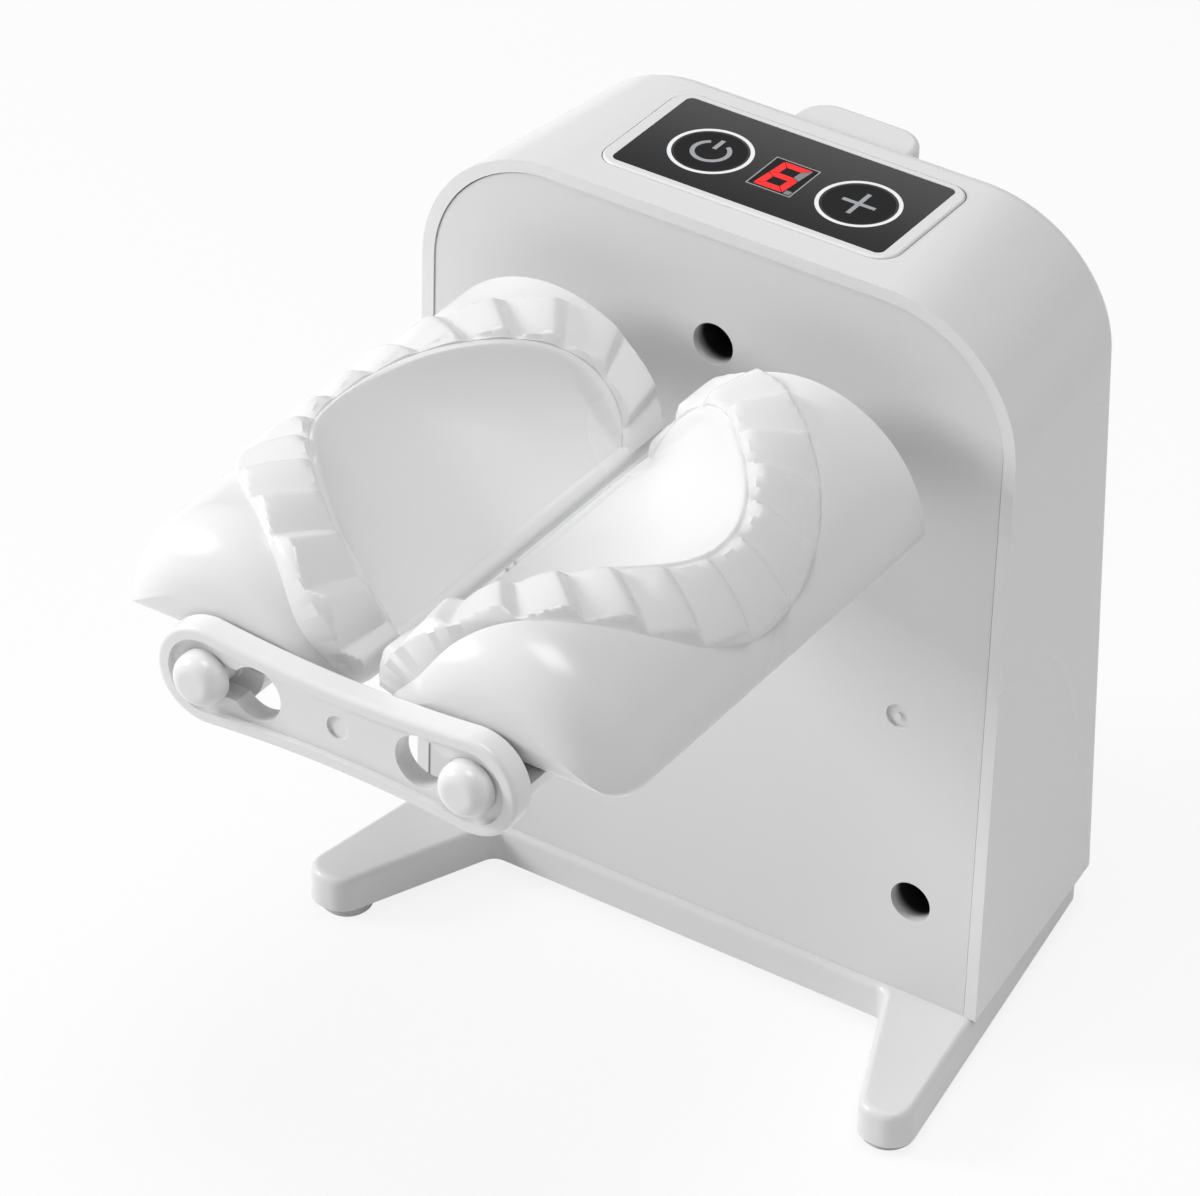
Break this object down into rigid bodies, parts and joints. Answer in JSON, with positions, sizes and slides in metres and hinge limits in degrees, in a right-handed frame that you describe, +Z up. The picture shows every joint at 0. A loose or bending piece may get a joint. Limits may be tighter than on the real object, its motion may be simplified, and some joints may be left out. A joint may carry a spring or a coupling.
{
  "type": "electric dumpling maker",
  "caption": "Upright tapered housing on a two-footed base, with a touch panel on top and a pair of geared half-drum mould rollers that reach forward and are joined by a link bar.",
  "frame": {"origin": "centre of the bounding box on the surface that the pads stand on", "axes": "+Z up, rollers reach forward along -Y, +X to the right seen from the front"},
  "size_m": [0.1062, 0.1404, 0.1274],
  "materials": {
    "white_plastic": "glossy white moulded ABS",
    "panel_plastic": "satin white moulded ABS, slightly grey",
    "rubber": "soft grey rubber",
    "steel": "plated steel",
    "brass": "sintered bronze",
    "gear_plastic": "natural acetal",
    "inner_plastic": "grey ABS",
    "cell_sleeve": "blue shrink sleeve",
    "board": "green circuit board",
    "black_glass": "polished black panel",
    "display": "dark display block"
  },
  "bodies": {
    "housing": {"base_plate": "panel_plastic", "base_screws": "steel", "battery_cell": "cell_sleeve", "battery_cradle": "inner_plastic", "board_rest": "inner_plastic", "carrier_bushes": "brass", "carrier_screws": "steel", "charge_board": "board", "charge_port": "steel", "control_board": "board", "digit_display": "display", "front_panel": "panel_plastic", "gear_carrier": "inner_plastic", "gearbox_case": "steel", "idler_pins": "steel", "motor_can": "steel", "panel_bushes": "brass", "panel_screws": "steel", "rear_housing": "white_plastic", "rubber_pads": "rubber", "touch_board": "board", "touch_frame": "white_plastic", "touch_glass": "black_glass"},
    "drive_right": {"drive_shaft_right": "steel", "drive_gear_right": "gear_plastic"},
    "drive_left": {"drive_shaft_left": "steel", "drive_gear_left": "gear_plastic"},
    "idler_right": {"idler_gear_right": "gear_plastic"},
    "idler_left": {"idler_gear_left": "gear_plastic"},
    "motor_output": {"motor_pinion": "gear_plastic", "output_shaft": "steel"},
    "mould_right": {"roller_right": "white_plastic", "roller_cover_right": "white_plastic", "end_pin_right": "white_plastic"},
    "mould_left": {"roller_left": "white_plastic", "roller_cover_left": "white_plastic", "end_pin_left": "white_plastic"},
    "link": {"link_bar": "white_plastic"}
  },
  "joints": [
    {"name": "roller_right_spin", "type": "hinge", "parent": "housing", "child": "drive_right", "pos_m": [0.0216, 0.02525, 0.0948], "axis": [0, 1, 0], "continuous": true},
    {"name": "roller_left_spin", "type": "hinge", "parent": "housing", "child": "drive_left", "pos_m": [-0.0216, 0.02525, 0.0948], "axis": [0, 1, 0], "continuous": true},
    {"name": "idler_right_spin", "type": "hinge", "parent": "housing", "child": "idler_right", "pos_m": [0.0054, 0.02525, 0.0948], "axis": [0, 1, 0], "continuous": true},
    {"name": "idler_left_spin", "type": "hinge", "parent": "housing", "child": "idler_left", "pos_m": [-0.0054, 0.02525, 0.0948], "axis": [0, 1, 0], "continuous": true},
    {"name": "motor_spin", "type": "hinge", "parent": "housing", "child": "motor_output", "pos_m": [0.003, 0.02525, 0.08427], "axis": [0, 1, 0], "continuous": true},
    {"name": "pull_off", "type": "slide", "parent": "housing", "child": "link", "axis": [0, -1, 0], "range_m": [0, 0.06]},
    {"name": "roller_right_pull", "type": "slide", "parent": "drive_right", "child": "mould_right", "axis": [0, -1, 0], "range_m": [0, 0.06]},
    {"name": "roller_left_pull", "type": "slide", "parent": "drive_left", "child": "mould_left", "axis": [0, -1, 0], "range_m": [0, 0.06]}
  ],
  "couplings": [
    {"joint": "roller_left_spin", "follows": "roller_right_spin", "ratio": -1},
    {"joint": "idler_right_spin", "follows": "roller_right_spin", "ratio": -2},
    {"joint": "idler_left_spin", "follows": "roller_right_spin", "ratio": 2},
    {"joint": "motor_spin", "follows": "roller_right_spin", "ratio": 2},
    {"joint": "roller_right_pull", "follows": "pull_off", "ratio": 1},
    {"joint": "roller_left_pull", "follows": "pull_off", "ratio": 1}
  ]
}
